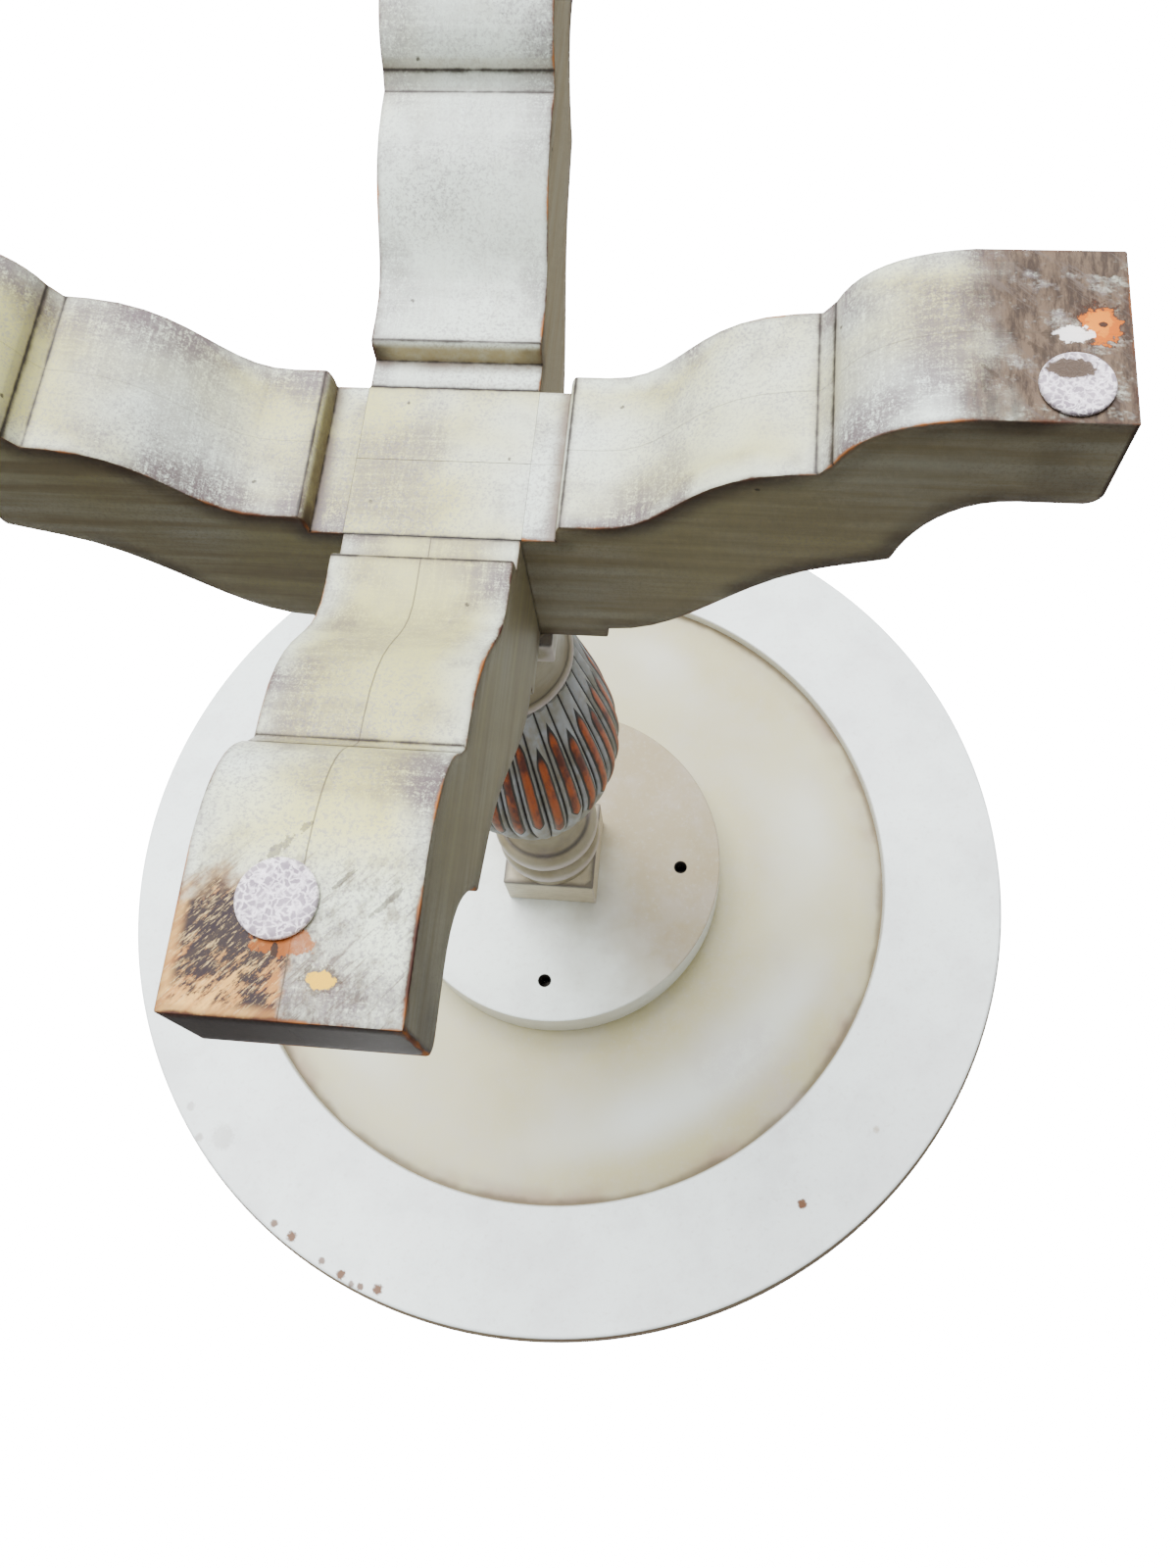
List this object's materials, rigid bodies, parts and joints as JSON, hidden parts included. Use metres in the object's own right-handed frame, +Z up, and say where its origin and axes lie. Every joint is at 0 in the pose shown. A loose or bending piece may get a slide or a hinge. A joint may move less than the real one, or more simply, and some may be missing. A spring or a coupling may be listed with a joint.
{
  "type": "round pedestal table",
  "caption": "Round-topped side table on a turned, gadrooned pedestal with ogee-shaped cross legs and felt-padded feet.",
  "frame": {"origin": "on the floor, in the middle under the column", "axes": "+Z up along the column's axis, out of the table top; +X to the right and +Y to the back, each along a leg"},
  "size_m": [0.808, 0.808, 0.7627],
  "materials": {
    "leg_paint": "worn antique-white paint, rubbed to brown wood on the edges",
    "column_paint": "grey-white glazed paint, rubbed through to orange-brown wood on the lobe crests",
    "top_paint": "cool white paint, slightly scuffed",
    "bare_wood": "bare beech",
    "felt": "pressed pale felt",
    "zinc_steel": "dull zinc"
  },
  "bodies": {
    "root": {"cap_screw_1": "zinc_steel", "cap_screw_2": "zinc_steel", "cap_screw_3": "zinc_steel", "cap_screw_4": "zinc_steel", "column_cap_block": "column_paint", "column_collar": "column_paint", "column_dowel_lower": "bare_wood", "column_dowel_upper": "bare_wood", "column_neck": "column_paint", "column_plinth": "column_paint", "column_urn": "column_paint", "felt_pad_back": "felt", "felt_pad_front": "felt", "felt_pad_left": "felt", "felt_pad_right": "felt", "hub_board_back": "leg_paint", "hub_board_front": "leg_paint", "leg_back_board_a": "leg_paint", "leg_back_board_b": "leg_paint", "leg_back_dowel_a": "bare_wood", "leg_back_dowel_b": "bare_wood", "leg_front_board_a": "leg_paint", "leg_front_board_b": "leg_paint", "leg_front_dowel_a": "bare_wood", "leg_front_dowel_b": "bare_wood", "leg_left_board_a": "leg_paint", "leg_left_board_b": "leg_paint", "leg_left_dowel_a": "bare_wood", "leg_left_dowel_b": "bare_wood", "leg_right_board_a": "leg_paint", "leg_right_board_b": "leg_paint", "leg_right_dowel_a": "bare_wood", "leg_right_dowel_b": "bare_wood", "mounting_plate": "top_paint", "rim_segment_1": "top_paint", "rim_segment_2": "top_paint", "rim_segment_3": "top_paint", "rim_segment_4": "top_paint", "rim_segment_5": "top_paint", "rim_segment_6": "top_paint", "rim_segment_7": "top_paint", "rim_segment_8": "top_paint", "table_top": "top_paint", "top_screw_1": "zinc_steel", "top_screw_2": "zinc_steel", "top_screw_3": "zinc_steel", "top_screw_4": "zinc_steel"}
  },
  "joints": []
}
